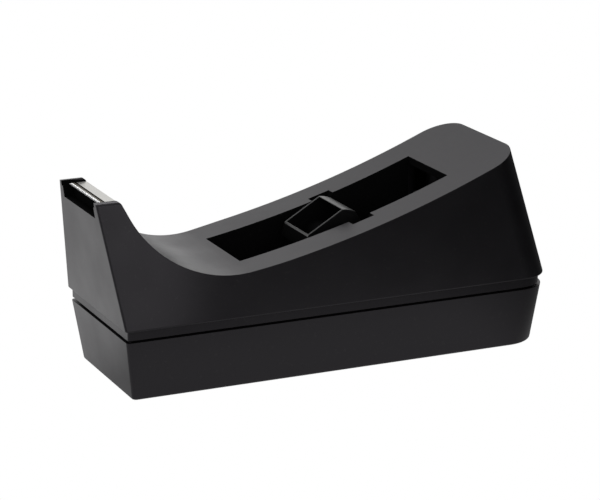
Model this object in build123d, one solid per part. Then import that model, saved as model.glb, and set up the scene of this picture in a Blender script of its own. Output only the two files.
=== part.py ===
from build123d import *
from math import cos, radians, sin, sqrt, tan
import os

os.makedirs("parts", exist_ok=True)

# Weighted desk tape dispenser. Millimetres, +Z up. X runs along the body, blade at -X, Y across it.
# The origin is on the table, under the middle of the overall length.

# ---------------------------------------------------------------- driving sizes
overall_length = 156.6      # front of the cheeks to the rear edge of the skirt
pad_proud = 0.5             # the non-slip pad stands this far below the base

# base pan
base_height = 19.9
base_half_width = 26.05     # at its rim
base_side_taper = 3.0       # how much narrower each side is at the bottom
base_front_taper = 2.7
base_rear_taper = 2.0
base_front_back = 6.0       # rim front, behind the front of the cheeks
base_rear_back = 0.3        # rim rear, ahead of the rear edge of the skirt
base_wall = 1.8
base_floor = 2.2
base_edge_chamfer = 0.8
base_corner_radius = 1.2

# top shell
seam_gap = 0.75             # shadow gap between the rim and the shell
band_height = 3.0           # inset band that the shadow gap runs under
band_inset = 1.0
band_rear_inset = 1.7
band_overlap = 1.2          # the band runs up inside the skirt this far
skirt_half_width = 27.1
tower_half_width = 17.1     # over the cheeks, at their top
body_side_lean = 0.015      # inward lean of the sides behind the tower, per mm of height
front_lean = 0.137          # the front leans forward by this much per mm of height
rear_lean = 0.305
flank_straight = 13.7       # behind the front, the leaning flanks of the tower start to turn upright
flank_blend_length = 47.1   # and over this length they do
shell_wall = 2.4
deck_thickness = 2.4
front_corner_radius = 0.8
rear_corner_radius = 11.5
lip_chamfer = 0.5           # on the lower edge of the skirt
tongue_wall = 1.6           # locating tongue of the shell inside the base rim
tongue_depth = 3.4
tongue_clearance = 0.25

# side profile of the deck
cheek_top = 63.4
cheek_length = 7.94         # front of the cheeks to the brow, before the brow is rounded
deck_low_z = 38.1
valley_radius = 35.1
valley_slope = 64.5         # steepest angle, on the back of the tower
ramp_radius = 393.0
ramp_start_angle = 9.7
cheek_corner_radius = 2.0

# blade and its seat between the cheeks
cheek_thickness = 1.9
seat_drop = 1.6             # the seat lies this far below the top of the cheeks
recess_depth = 4.0
recess_height = 3.6         # height of the recess in the front wall below the seat
recess_side = 0.9           # the recess is narrower than the gap between the cheeks, each side
blade_thickness = 0.5
blade_end_clearance = 0.3
blade_reach = 1.5           # the teeth stand this far ahead of the seat
blade_upturn = 10.0         # degrees
tooth_pitch = 1.25
tooth_depth = 0.9
tooth_flat = 0.02           # left at the point of each tooth
crease_width = 0.7
crease_depth = 0.45
crease_from_rear = 3.3
leg_width = 5.0
leg_spacing = 18.0
leg_length = 3.2
leg_from_crease = 1.2
leg_clearance = 0.1

# slot for the tape roll
slot_half_width = 14.2
slot_ahead = 37.5           # of the axle
slot_behind = 36.1
well_wall = 2.0
well_bottom = 27.5
slot_corner_radius = 0.8

# hub and axle
axle_x = 8.0
axle_z = 37.6
axle_diameter = 5.8
axle_end_clearance = 0.35
axle_end_chamfer = 0.6
groove_clearance = 0.2
groove_depth = 3.2          # beyond the side of the slot
groove_lean = 21.9          # degrees, the grooves lean back as they rise
groove_wall = 1.7
core_diameter = 25.2        # fits a 25.4 mm paper core
hub_flat = 10.4             # axis to each of the four flats
hub_width = 18.6
hub_pitch = 30.7            # resting angle of the hub
hub_end_wall = 1.4
hub_side_wall = 1.3
hub_web = 1.6
hub_boss_wall = 1.9
hub_bore_clearance = 0.06
hub_end_bevel = 0.35

# screws, posts and ballast
screw_from_front = 21.3
screw_from_rear = 22.8
ballast_side_wall = 1.7     # of the ballast, outside the posts
screw_diameter = 3.0
screw_head_diameter = 5.6
screw_head_height = 2.2
screw_length = 10.0
post_diameter = 8.4
post_top_wall = 2.6
boss_diameter = 7.6
boss_hole_depth = 9.0
screw_clearance = 0.2
screw_core_clearance = 0.02 # round the shank in its boss
post_rise = 1.2             # the posts stand this far above the rim
ballast_clearance = 0.6
ballast_height = 13.0
ballast_front_height = 27.0
ballast_rear_height = 42.0
ballast_end_clearance = 1.4 # between its high ends and the walls of the well
ballast_rear_slope = 8.0
roll_radius = 33.0          # room for a full roll on the hub
roll_half_room = 13.0

# non-slip pad
pad_thickness = 1.3
pad_margin = 3.8
pad_corner_radius = 6.0
pad_clearance = 0.15

# ---------------------------------------------------------------- levels and places worked out
over = 5.0                  # how far blanks and cutting tools run past what they cut
front_x = -overall_length / 2
rear_x = overall_length / 2
base_bottom = pad_proud
rim_top = base_bottom + base_height
band_bottom = rim_top + seam_gap
skirt_z = band_bottom + band_height
flank_blend_start = front_x + flank_straight
flank_blend_end = flank_blend_start + flank_blend_length
skirt_front = front_x + front_lean * (cheek_top - skirt_z)
tower_side_lean = (skirt_half_width - tower_half_width) / (cheek_top - skirt_z)

# the straight back of the tower meets the round valley of the deck at its foot
steep = radians(valley_slope)
valley_centre_z = deck_low_z + valley_radius
valley_foot_z = valley_centre_z - valley_radius * cos(steep)
valley_foot_x = front_x + cheek_length + (cheek_top - valley_foot_z) / tan(steep)
deck_low_x = valley_foot_x + valley_radius * sin(steep)

# the ramp starts from the valley's arc without a kink, and blanks reach above its rear end
gentle = radians(ramp_start_angle)
ramp_centre_x = deck_low_x + (valley_radius - ramp_radius) * sin(gentle)
ramp_centre_z = valley_centre_z - (valley_radius - ramp_radius) * cos(gentle)
deck_end_x = rear_x + over
deck_end_z = ramp_centre_z - sqrt(ramp_radius**2 - (deck_end_x - ramp_centre_x) ** 2)
form_top = max(cheek_top, deck_end_z) + over

# the rear edge of the blade is flush with the back of the tower
cheek_inner = tower_half_width - cheek_thickness
seat_z = cheek_top - seat_drop
seat_front = front_x + recess_depth
recess_floor = seat_z - recess_height
blade_rear_x = valley_foot_x - (seat_z + blade_thickness - valley_foot_z) / tan(steep)
crease_x = blade_rear_x - crease_from_rear
leg_x = crease_x + crease_width / 2 + leg_from_crease

axle_radius = axle_diameter / 2
slot_front = axle_x - slot_ahead
slot_rear = axle_x + slot_behind
groove_half_width = axle_radius + groove_clearance
groove_end = slot_half_width + groove_depth

# the screws pass as near to the sides as the wall of the ballast outside their posts allows
ballast_low = base_bottom + base_floor
ballast_front_end = slot_front - well_wall - ballast_end_clearance
ballast_rear_end = slot_rear + well_wall + ballast_end_clearance
low_half_width = base_half_width - base_side_taper * (rim_top - ballast_low) / base_height
ballast_half_width = low_half_width - base_wall - ballast_clearance
post_hole_radius = post_diameter / 2 + ballast_clearance
screw_half_span = ballast_half_width - ballast_side_wall - post_hole_radius
screw_ends = (front_x + screw_from_front, rear_x - screw_from_rear)
screw_places = [(x, side * screw_half_span) for x in screw_ends for side in (-1, 1)]
post_top = rim_top + post_rise
head_seat = post_top - post_top_wall


# ---------------------------------------------------------------- outlines
def outline(z, x_front, x_rear, half_front, half_rear, front_radius, rear_radius):
    """Closed plan outline at height z, symmetric about the X axis.

    The sides are straight at half_front near the front and at half_rear behind, with an S-shaped
    stretch between them, so that a straight-sided outline and a waisted one have matching edges.
    """
    x0, x1 = flank_blend_start, flank_blend_end
    third = (x1 - x0) / 3
    side = [
        Line((x_front + front_radius, half_front), (x0, half_front)),
        Bezier((x0, half_front), (x0 + third, half_front), (x1 - third, half_rear), (x1, half_rear)),
        Line((x1, half_rear), (x_rear - rear_radius, half_rear)),
    ]
    return closed_outline(z, x_front, x_rear, half_front, half_rear, front_radius, rear_radius, side)


def plain_outline(z, x_front, x_rear, half_width, front_radius, rear_radius):
    """Closed plan outline at height z with straight sides."""
    side = [Line((x_front + front_radius, half_width), (x_rear - rear_radius, half_width))]
    return closed_outline(z, x_front, x_rear, half_width, half_width, front_radius, rear_radius, side)


def closed_outline(z, x_front, x_rear, half_front, half_rear, front_radius, rear_radius, side):
    """Face made of one side, the rounded corners at its ends, and their mirror images."""
    f, r = front_radius, rear_radius
    half = [
        Line((x_front, 0), (x_front, half_front - f)),
        RadiusArc((x_front, half_front - f), (x_front + f, half_front), f),
        *side,
        RadiusArc((x_rear - r, half_rear), (x_rear, half_rear - r), r),
        Line((x_rear, half_rear - r), (x_rear, 0)),
    ]
    other = [edge.mirror(Plane.XZ) for edge in half]
    return Plane.XY.offset(z) * make_face(half + other)


def shell_level(z, inset):
    """Plan outline of the top shell's leaning walls at height z, moved inward by inset."""
    up = z - skirt_z
    return outline(
        z,
        skirt_front - front_lean * up + inset,
        rear_x - rear_lean * up - inset,
        skirt_half_width - tower_side_lean * up - inset,
        skirt_half_width - body_side_lean * up - inset,
        front_corner_radius,
        rear_corner_radius - inset,
    )


def shell_form(inset):
    """The whole body of the top shell, before the deck is cut, moved inward by inset."""
    return loft([shell_level(skirt_z, inset), shell_level(form_top, inset)], ruled=True)


def skirted_form():
    """The same body at full size, with a chamfer round its lower edge."""
    levels = [
        shell_level(skirt_z, lip_chamfer),
        shell_level(skirt_z + lip_chamfer, 0),
        shell_level(form_top, 0),
    ]
    return loft(levels, ruled=True)


def straight_block(z0, z1, inset, rear_inset):
    """Upright block inside the outline of the skirt, moved inward by inset."""
    face = plain_outline(
        z0,
        skirt_front + inset,
        rear_x - rear_inset,
        skirt_half_width - inset,
        front_corner_radius,
        rear_corner_radius - inset,
    )
    return extrude(face, amount=z1 - z0)


def base_outline(z, inset):
    """Plan outline of the tapered base pan at height z, moved inward by inset."""
    down = (rim_top - z) / base_height
    half_width = base_half_width - base_side_taper * down - inset
    return plain_outline(
        z,
        front_x + base_front_back + base_front_taper * down + inset,
        rear_x - base_rear_back - base_rear_taper * down - inset,
        half_width,
        base_corner_radius,
        rear_corner_radius - inset,
    )


def base_form(inset, z0, z1):
    """Tapered body of the base pan between two heights, moved inward by inset."""
    return loft([base_outline(z0, inset), base_outline(z1, inset)], ruled=True)


def deck_profile(drop):
    """Region above the deck in the XZ plane, with its lower edge moved down by drop."""
    r_valley = valley_radius + drop
    r_ramp = ramp_radius + drop
    foot = (deck_low_x - r_valley * sin(steep), valley_centre_z - r_valley * cos(steep))
    start = (deck_low_x + r_valley * sin(gentle), valley_centre_z - r_valley * cos(gentle))
    low = (deck_low_x, valley_centre_z - r_valley)
    end_z = ramp_centre_z - sqrt(r_ramp**2 - (deck_end_x - ramp_centre_x) ** 2)
    mid_x = (start[0] + deck_end_x) / 2
    mid_z = ramp_centre_z - sqrt(r_ramp**2 - (mid_x - ramp_centre_x) ** 2)
    top_z = cheek_top - drop
    brow_x = foot[0] - (top_z - foot[1]) / tan(steep)
    high = form_top + over
    edges = [
        Line((front_x - over, top_z), (brow_x, top_z)),
        Line((brow_x, top_z), foot),
        ThreePointArc(foot, low, start),
        ThreePointArc(start, (mid_x, mid_z), (deck_end_x, end_z)),
        Line((deck_end_x, end_z), (deck_end_x, high)),
        Line((deck_end_x, high), (front_x - over, high)),
        Line((front_x - over, high), (front_x - over, top_z)),
    ]
    face = make_face(edges)
    brow = face.vertices().sort_by_distance((brow_x, top_z))[0]
    return fillet(brow, cheek_corner_radius)


def above_deck(drop):
    """Solid that takes away everything above the deck, moved down by drop."""
    face = Plane.XZ * deck_profile(drop)
    return extrude(face, amount=skirt_half_width + over, both=True)


# ---------------------------------------------------------------- plain blanks
def block(x0, x1, y0, y1, z0, z1):
    """Upright block between three pairs of coordinates."""
    return Pos((x0 + x1) / 2, (y0 + y1) / 2, (z0 + z1) / 2) * Box(x1 - x0, y1 - y0, z1 - z0)


def rod(place, radius, z0, z1):
    """Upright cylinder at an (x, y) place, between two heights."""
    x, y = place
    return Pos(x, y, (z0 + z1) / 2) * Cylinder(radius, z1 - z0)


def across(face, half_length):
    """Solid made of a face in the XZ plane, to the same length on both sides of the middle."""
    return extrude(Plane.XZ * face, amount=half_length, both=True)


# ---------------------------------------------------------------- top shell
def make_top_shell():
    """Thin-walled shell: tower, curved deck, roll well, axle grooves, band, tongue and bosses."""
    shell = skirted_form() - above_deck(0) - cavity()
    shell = shell + band_and_tongue()
    inside_deck = above_deck(deck_thickness / 2)
    shell = shell + (well_walls() - inside_deck)
    for place in screw_places:
        shell = shell + (rod(place, boss_diameter / 2, post_top, form_top) - inside_deck)
    for place in screw_places:
        shell = shell - rod(place, screw_diameter / 2, post_top, post_top + boss_hole_depth)
    shell = shell - slot() - axle_groove(groove_half_width, groove_end)
    return shell - blade_seat()


def cavity():
    """Hollow of the shell: it follows the walls and the deck, and ends below the blade's seat."""
    under_seat = block(
        front_x - over,
        deck_low_x,
        -skirt_half_width,
        skirt_half_width,
        recess_floor - shell_wall,
        form_top,
    )
    return shell_form(shell_wall) - above_deck(deck_thickness) - under_seat


def band_and_tongue():
    """Inset band under the skirt, and the tongue that drops inside the rim of the base."""
    tongue_bottom = band_bottom - tongue_depth
    band_top = skirt_z + band_overlap
    tongue_inset = base_wall + tongue_clearance
    band = straight_block(band_bottom, band_top, band_inset, band_rear_inset)
    tongue = extrude(base_outline(tongue_bottom, tongue_inset), amount=tongue_depth)
    hollow_face = base_outline(tongue_bottom, tongue_inset + tongue_wall)
    return band + tongue - extrude(hollow_face, amount=band_top - tongue_bottom + over)


def well_walls():
    """Side walls of the well under the slot, with the housings of the axle grooves."""
    plate = block(
        slot_front - well_wall,
        slot_rear + well_wall,
        slot_half_width,
        slot_half_width + well_wall,
        well_bottom,
        form_top,
    )
    housing = axle_groove(groove_half_width + groove_wall, groove_end + groove_wall)
    return plate + mirror(plate, about=Plane.XZ) + housing


def axle_groove(half_width, half_length):
    """Form of the axle groove: round at the bottom, leaning back, right across the body."""
    length = (form_top - axle_z) / cos(radians(groove_lean))
    upper = Rectangle(2 * half_width, length, align=(Align.CENTER, Align.MIN))
    face = Rot(0, 0, -groove_lean) * (upper + Circle(half_width))
    return across(Pos(axle_x, axle_z) * face, half_length)


def slot():
    """Opening in the deck for the roll."""
    face = RectangleRounded(slot_rear - slot_front, 2 * slot_half_width, slot_corner_radius)
    low = well_bottom - over
    return Pos((slot_front + slot_rear) / 2, 0, low) * extrude(face, amount=form_top - low)


def blade_seat():
    """Seat of the blade between the cheeks, the recess in the front wall under it, and the cuts
    for the blade's crease and legs."""
    recess_half = cheek_inner - recess_side
    seat = block(front_x - over, deck_low_x, -cheek_inner, cheek_inner, seat_z, form_top)
    recess = block(
        front_x - over, seat_front, -recess_half, recess_half, recess_floor, form_top
    )
    crease = block(
        crease_x - crease_width / 2 - leg_clearance,
        crease_x + crease_width / 2 + leg_clearance,
        -cheek_inner,
        cheek_inner,
        seat_z - crease_depth - leg_clearance,
        form_top,
    )
    return seat + recess + crease + blade_legs(leg_clearance)


# ---------------------------------------------------------------- blade
def blade_legs(clearance):
    """The two legs that hold the blade in its seat, grown by a clearance."""
    half_thickness = blade_thickness / 2 + clearance
    half_width = leg_width / 2 + clearance
    low = seat_z - leg_length - clearance
    legs = [
        block(
            leg_x - half_thickness,
            leg_x + half_thickness,
            middle - half_width,
            middle + half_width,
            low,
            seat_z + blade_thickness / 2,
        )
        for middle in (-leg_spacing / 2, leg_spacing / 2)
    ]
    return legs[0] + legs[1]


def make_blade():
    """Bent strip: landing plate, pressed crease, cutting edge turned up, and two legs."""
    half = cheek_inner - blade_end_clearance
    t = blade_thickness
    w = crease_width / 2
    up = radians(blade_upturn)
    tip_x = seat_front - blade_reach * cos(up)
    tip_z = seat_z + blade_reach * sin(up)
    section = make_face(
        Polyline(
            (blade_rear_x, seat_z),
            (crease_x + w, seat_z),
            (crease_x + w / 2, seat_z - crease_depth),
            (crease_x - w / 2, seat_z - crease_depth),
            (crease_x - w, seat_z),
            (seat_front, seat_z),
            (tip_x, tip_z),
            (tip_x + t * sin(up), tip_z + t * cos(up)),
            (seat_front + t * tan(up / 2), seat_z + t),
            (crease_x - w, seat_z + t),
            (crease_x - w / 4, seat_z + t - crease_depth),
            (crease_x + w / 4, seat_z + t - crease_depth),
            (crease_x + w, seat_z + t),
            (blade_rear_x, seat_z + t),
            close=True,
        )
    )
    strip = across(section, half)
    notch = tooth_notch()
    count = int(2 * half / tooth_pitch)
    for i in range(count + 1):
        y = (i - count / 2) * tooth_pitch
        strip = strip - Pos(tip_x, y, seat_z) * notch
    return strip + blade_legs(0)


def tooth_notch():
    """V-shaped cutter between two teeth, with the cutting edge's tip at its origin."""
    depth = tooth_depth / cos(radians(blade_upturn))
    half_at_tip = (tooth_pitch - tooth_flat) / 2
    half_ahead = half_at_tip * (depth + over) / depth
    face = make_face(Polyline((-over, -half_ahead), (depth, 0), (-over, half_ahead), close=True))
    return extrude(face, amount=over, both=True)


# ---------------------------------------------------------------- base pan
def make_base_pan():
    """Tapered pan with four posts for the screws and a pocket for the pad."""
    outer = base_form(0, base_bottom, rim_top)
    bottom_edges = outer.faces().sort_by(Axis.Z)[0].edges()
    outer = chamfer(bottom_edges, base_edge_chamfer)
    pan = outer - base_form(base_wall, ballast_low, rim_top + over)
    for place in screw_places:
        pan = pan + rod(place, post_diameter / 2, base_bottom, post_top)
    for place in screw_places:
        pan = pan - rod(place, screw_head_diameter / 2 + screw_clearance, 0, head_seat)
        pan = pan - rod(place, screw_diameter / 2 + screw_clearance, 0, post_top + over)
    return pan - pad_blank(pad_clearance, 0, pad_thickness)


# ---------------------------------------------------------------- pad
def pad_blank(grow, z0, z1):
    """Rounded sheet under the base, grown sideways by grow."""
    x_front = front_x + base_front_back + base_front_taper + pad_margin - grow
    x_end = rear_x - base_rear_back - base_rear_taper - pad_margin + grow
    half = base_half_width - base_side_taper - pad_margin + grow
    face = RectangleRounded(x_end - x_front, 2 * half, pad_corner_radius + grow)
    return Pos((x_front + x_end) / 2, 0, z0) * extrude(face, amount=z1 - z0)


def make_pad():
    return pad_blank(0, 0, pad_thickness)


# ---------------------------------------------------------------- ballast
def make_ballast():
    """Cast block that fills the pan, with high ends and an open well where the roll hangs."""
    face = base_outline(ballast_low, base_wall + ballast_clearance)
    box = face.bounding_box()
    front = box.min.X
    rear = box.max.X
    body = extrude(face, amount=ballast_rear_height)
    top = ballast_low + ballast_height
    front_top = ballast_low + ballast_front_height
    rear_top = ballast_low + ballast_rear_height
    open_side = Polyline(
        (ballast_front_end, front_top),
        (ballast_front_end, top),
        (ballast_rear_end, top),
        (ballast_rear_end, rear_top),
        (rear - ballast_rear_slope, rear_top),
        (rear, top),
        (rear + over, top),
        (rear + over, form_top),
        (front - over, form_top),
        (front - over, front_top),
        close=True,
    )
    body = body - across(make_face(open_side), skirt_half_width)
    well_front = axle_x - roll_radius
    well_rear = axle_x + roll_radius
    body = body - block(well_front, well_rear, -roll_half_room, roll_half_room, 0, form_top)
    for place in screw_places:
        body = body - rod(place, post_hole_radius, 0, form_top)
    return body


# ---------------------------------------------------------------- screws
def make_screws():
    """Four cap-headed screws that clamp the base to the bosses of the shell."""
    screws = []
    for place in screw_places:
        head = rod(place, screw_head_diameter / 2, head_seat - screw_head_height, head_seat)
        core_radius = screw_diameter / 2 - screw_core_clearance
        shank = rod(place, core_radius, head_seat, head_seat + screw_length)
        screws.append(head + shank)
    return Compound(screws)


# ---------------------------------------------------------------- hub and axle
def make_axle():
    """Plain round axle with chamfered ends, which rests in the two grooves."""
    half = groove_end - axle_end_clearance
    axle = across(Pos(axle_x, axle_z) * Circle(axle_radius), half)
    return chamfer(axle.edges().filter_by(GeomType.CIRCLE), axle_end_chamfer)


def make_hub():
    """Moulded hub: a core-sized round with four flats, pocketed from two opposite flats."""
    drum = Cylinder(core_diameter / 2, hub_width) & Box(2 * hub_flat, 2 * hub_flat, hub_width)
    ends = drum.faces().sort_by(Axis.Z)
    drum = chamfer(ends[0].edges() + ends[-1].edges(), hub_end_bevel)
    pocket_half = hub_flat - hub_side_wall
    side_limit = sqrt((core_diameter / 2 - hub_side_wall) ** 2 - hub_flat**2)
    pocket_face = make_face(
        Polyline(
            (-side_limit, hub_flat + over),
            (-side_limit, hub_flat),
            (-pocket_half, side_limit),
            (-pocket_half, hub_web / 2),
            (pocket_half, hub_web / 2),
            (pocket_half, side_limit),
            (side_limit, hub_flat),
            (side_limit, hub_flat + over),
            close=True,
        )
    )
    pocket = extrude(pocket_face, amount=hub_width / 2 - hub_end_wall, both=True)
    drum = drum - pocket - mirror(pocket, about=Plane.XZ)
    drum = drum + Cylinder(axle_radius + hub_boss_wall, hub_width)
    drum = drum - Cylinder(axle_radius + hub_bore_clearance, hub_width + over)
    return Pos(axle_x, 0, axle_z) * Rot(0, -hub_pitch, 0) * Rot(90, 0, 0) * drum


def main():
    parts = {
        "top_shell": make_top_shell(),
        "base_pan": make_base_pan(),
        "ballast_block": make_ballast(),
        "nonslip_pad": make_pad(),
        "cutter_blade": make_blade(),
        "housing_screws": make_screws(),
        "hub_axle": make_axle(),
        "core_hub": make_hub(),
    }
    for name, shape in parts.items():
        export_step(shape, f"parts/{name}.step")
        box = shape.bounding_box()
        print(f"{name:16s} solids {len(shape.solids())} volume {shape.volume:10.1f} "
              f"x {box.min.X:7.2f}..{box.max.X:7.2f} y {box.min.Y:7.2f}..{box.max.Y:7.2f} "
              f"z {box.min.Z:6.2f}..{box.max.Z:6.2f}")


main()
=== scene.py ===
# %% [markdown]
# # A weighted desk tape dispenser, in black moulded plastic
#
# The real object is two deep plastic mouldings with a heavy block shut between them. The upper
# one carries everything that shows: a saddle-shaped deck, a slot with a hub that the tape roll
# turns on, and a steel strip with teeth at the top of the front tower.
#
# The CAD model is loaded first and stays as it is. The pieces that show are then built again as
# Blender meshes at the same sizes, because a render needs soft edges and even facets that a CAD
# export doesn't have. Each new piece rides on the CAD body that it belongs to.

from math import acos, asin, atan, cos, degrees, pi, radians, sin, sqrt, tan

import bmesh
import bpy
from mathutils import Matrix, Vector


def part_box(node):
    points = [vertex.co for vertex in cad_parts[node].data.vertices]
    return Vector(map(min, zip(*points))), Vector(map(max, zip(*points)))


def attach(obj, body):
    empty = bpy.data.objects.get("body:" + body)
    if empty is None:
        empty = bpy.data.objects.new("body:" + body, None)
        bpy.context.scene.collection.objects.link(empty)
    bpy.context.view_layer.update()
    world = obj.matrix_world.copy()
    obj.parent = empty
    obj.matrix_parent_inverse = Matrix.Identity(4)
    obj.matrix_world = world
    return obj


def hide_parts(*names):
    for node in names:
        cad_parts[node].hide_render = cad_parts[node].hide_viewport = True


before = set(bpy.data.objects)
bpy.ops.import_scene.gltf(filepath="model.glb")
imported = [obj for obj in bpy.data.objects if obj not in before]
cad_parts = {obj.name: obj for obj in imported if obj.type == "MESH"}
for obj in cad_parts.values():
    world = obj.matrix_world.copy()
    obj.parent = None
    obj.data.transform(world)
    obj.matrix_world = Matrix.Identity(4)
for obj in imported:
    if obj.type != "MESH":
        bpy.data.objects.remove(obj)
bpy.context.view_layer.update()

# %% [markdown]
# ## The sizes
#
# All lengths below are in millimetres, as a product drawing gives them. Blender works in metres,
# so a mesh is built in millimetres and scaled once, when it becomes an object.

# %% Overall sizes
MM = 0.001
length = 156.6
front_x, rear_x = -length / 2, length / 2
base_bottom, rim_top = 0.5, 20.4
band_bottom, skirt_z = 21.15, 24.15
cheek_top = 63.4
top_z = cheek_top + 6.0
skirt_half, tower_half = 27.1, 17.1
over = 5.0
print("body length, width and height, mm:", length, 2 * skirt_half, cheek_top)

# %% [markdown]
# The walls lean, so that the moulding comes out of its mould. A lean is given as millimetres
# inwards for each millimetre up: a little at the sides, more at the front, most at the rear. The
# front corners are nearly sharp, the rear ones broad.

# %% Leans and corners
front_lean, rear_lean, side_lean = 0.137, 0.305, 0.015
tower_lean = (skirt_half - tower_half) / (cheek_top - skirt_z)
skirt_front = front_x + front_lean * (cheek_top - skirt_z)
front_corner, rear_corner = 0.8, 11.5
print("flank of the tower leans", round(degrees(atan(tower_lean)), 1), "degrees")

# %% [markdown]
# ## A plan outline that can be waisted
#
# Every level of the mouldings is the same kind of outline: two straight sides, sharp front
# corners and broad rear corners. Higher up the sides pull in at the front only, where they form
# the narrow tower, so each side gets an S-shaped stretch between its front and its rear width.
# One function returns the outline as a ring of points. It always returns the same number of
# points in the same order, so that two rings can be joined with plain quads.


# %% The outline as a ring of points
def s_curve(x0, x1, y0, y1, steps):
    """Points from (x0, y0) to (x1, y1) that start and end level: a cubic with flat ends."""
    points = []
    for i in range(steps + 1):
        t = i / steps
        x = x0 * (1 - t) ** 3 + x1 * t**3
        x += 3 * t * (1 - t) ** 2 * (x0 + (x1 - x0) / 3) + 3 * t**2 * (1 - t) * (x1 - (x1 - x0) / 3)
        y = y0 + (y1 - y0) * (3 * t**2 - 2 * t**3)
        points.append((x, y))
    return points


def corner(cx, cy, radius, start, end, steps):
    """Points on an arc about (cx, cy), angles in degrees."""
    angles = [radians(start + (end - start) * i / steps) for i in range(steps + 1)]
    return [(cx + radius * cos(a), cy + radius * sin(a)) for a in angles]


# %% Plan of the upper moulding
blend_start, blend_end = -64.6, -17.5
corner_steps, blend_steps, rear_steps = 4, 28, 14


def plan(x_front, x_rear, half_front, half_rear, front_radius, rear_radius):
    """Ring of plan points, anticlockwise from the front corner of the near side."""
    f, r = front_radius, rear_radius
    near = corner(x_front + f, -half_front + f, f, 180, 270, corner_steps)
    near += s_curve(blend_start, blend_end, -half_front, -half_rear, blend_steps)
    near += corner(x_rear - r, -half_rear + r, r, 270, 360, rear_steps)
    far = [(x, -y) for x, y in reversed(near)]
    return near + far


def shell_ring(z, inset=0.0):
    """Plan of the upper moulding's leaning walls at height z."""
    up = z - skirt_z
    points = plan(
        skirt_front - front_lean * up + inset,
        rear_x - rear_lean * up - inset,
        skirt_half - tower_lean * up - inset,
        skirt_half - side_lean * up - inset,
        front_corner,
        rear_corner - inset,
    )
    return [(x, y, z) for x, y in points]


print("points in a ring:", len(shell_ring(skirt_z)))

# %% [markdown]
# ## Three small makers of solids
#
# A stack of rings becomes a closed solid by joining neighbours with quads and closing both ends.
# A side profile becomes a solid by pushing it out across the body. A box is a profile of four
# points. With these three, and a cut, the whole housing can be made the way a mould maker thinks
# of it: a block, and then what is taken away.


# %% Makers of solids
def to_object(name, mesh_data):
    """Blender object from a bmesh in millimetres."""
    bmesh.ops.recalc_face_normals(mesh_data, faces=mesh_data.faces)
    mesh_data.transform(Matrix.Scale(MM, 4))
    mesh = bpy.data.meshes.new(name)
    mesh_data.to_mesh(mesh)
    mesh_data.free()
    obj = bpy.data.objects.new(name, mesh)
    bpy.context.scene.collection.objects.link(obj)
    return obj


def add_wall(mesh_data, low, high):
    """Quads between two rings of vertices."""
    for i in range(len(low)):
        j = (i + 1) % len(low)
        mesh_data.faces.new((low[i], low[j], high[j], high[i]))


def stack(name, rings):
    """Closed solid through a stack of rings that have the same number of points."""
    mesh_data = bmesh.new()
    rows = [[mesh_data.verts.new(p) for p in ring] for ring in rings]
    for low, high in zip(rows, rows[1:]):
        add_wall(mesh_data, low, high)
    mesh_data.faces.new(list(reversed(rows[0])))
    mesh_data.faces.new(rows[-1])
    return to_object(name, mesh_data)


def across(name, profile, y0, y1):
    """Side profile (x, z) pushed out from y0 to y1."""
    return stack(name, [[(x, y0, z) for x, z in profile], [(x, y1, z) for x, z in profile]])


def box(name, x0, x1, y0, y1, z0, z1):
    return across(name, [(x0, z0), (x1, z0), (x1, z1), (x0, z1)], y0, y1)


def post(name, x, y, z0, z1, radius, steps=32):
    """Upright round post."""
    turns = [2 * pi * i / steps for i in range(steps)]
    ring = [(x + radius * cos(a), y + radius * sin(a)) for a in turns]
    return stack(name, [[(px, py, z) for px, py in ring] for z in (z0, z1)])


# %% Cutting and joining
def combine(target, tools, operation="DIFFERENCE"):
    """Cuts the tools out of the target (or adds them), and deletes the tools."""
    for tool in tools:
        modifier = target.modifiers.new("cut", "BOOLEAN")
        modifier.object = tool
        modifier.operation = operation
        modifier.solver = "EXACT"
    bake_modifiers(target)
    for tool in tools:
        bpy.data.objects.remove(tool)
    return target


def bake_modifiers(obj):
    """Replaces the object's mesh by what its modifiers make of it."""
    bpy.context.view_layer.update()
    evaluated = obj.evaluated_get(bpy.context.evaluated_depsgraph_get())
    mesh = bpy.data.meshes.new_from_object(evaluated)
    obj.modifiers.clear()
    obj.data = mesh


# %% [markdown]
# ## The saddle-shaped deck
#
# Seen from the side, the deck is one long line: level over the cheeks of the tower, steeply down
# its back, round through the valley and up a long ramp that is very slightly dished. The steep
# line and the valley's arc meet tangentially, and so do the arc and the ramp. The space above
# that line is a cutter. The same line, lowered by the wall thickness, shapes the inside.

# %% Profile above the deck
low_z = 38.1
valley_radius, ramp_radius = 35.1, 393.0
steep, gentle = radians(64.5), radians(9.7)
cheek_length = 7.94
foot_z = low_z + valley_radius - valley_radius * cos(steep)
foot_x = front_x + cheek_length + (cheek_top - foot_z) / tan(steep)
low_x = foot_x + valley_radius * sin(steep)
brow_radius, brow_steps, deck_steps = 2.0, 8, 40


def deck_line(drop=0.0):
    """Points (x, z) of the deck from front to rear, lowered at right angles by drop."""
    rv, rr = valley_radius + drop, ramp_radius + drop
    centre_z = low_z + valley_radius
    ramp_x = low_x + (valley_radius - ramp_radius) * sin(gentle)
    ramp_z = centre_z - (valley_radius - ramp_radius) * cos(gentle)
    foot = (low_x - rv * sin(steep), centre_z - rv * cos(steep))
    brow_z = cheek_top - drop
    brow_x = foot[0] - (brow_z - foot[1]) / tan(steep)
    back = brow_radius * tan(steep / 2)
    brow = corner(
        brow_x - back, brow_z - brow_radius, brow_radius, 90, 90 - degrees(steep), brow_steps
    )
    points = [(front_x - over, brow_z)] + brow
    for i in range(deck_steps + 1):
        a = -steep + (steep + gentle) * i / deck_steps
        points.append((low_x + rv * sin(a), centre_z - rv * cos(a)))
    end = asin((rear_x + over - ramp_x) / rr)
    for i in range(1, deck_steps + 1):
        a = gentle + (end - gentle) * i / deck_steps
        points.append((ramp_x + rr * sin(a), ramp_z - rr * cos(a)))
    return points


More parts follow.
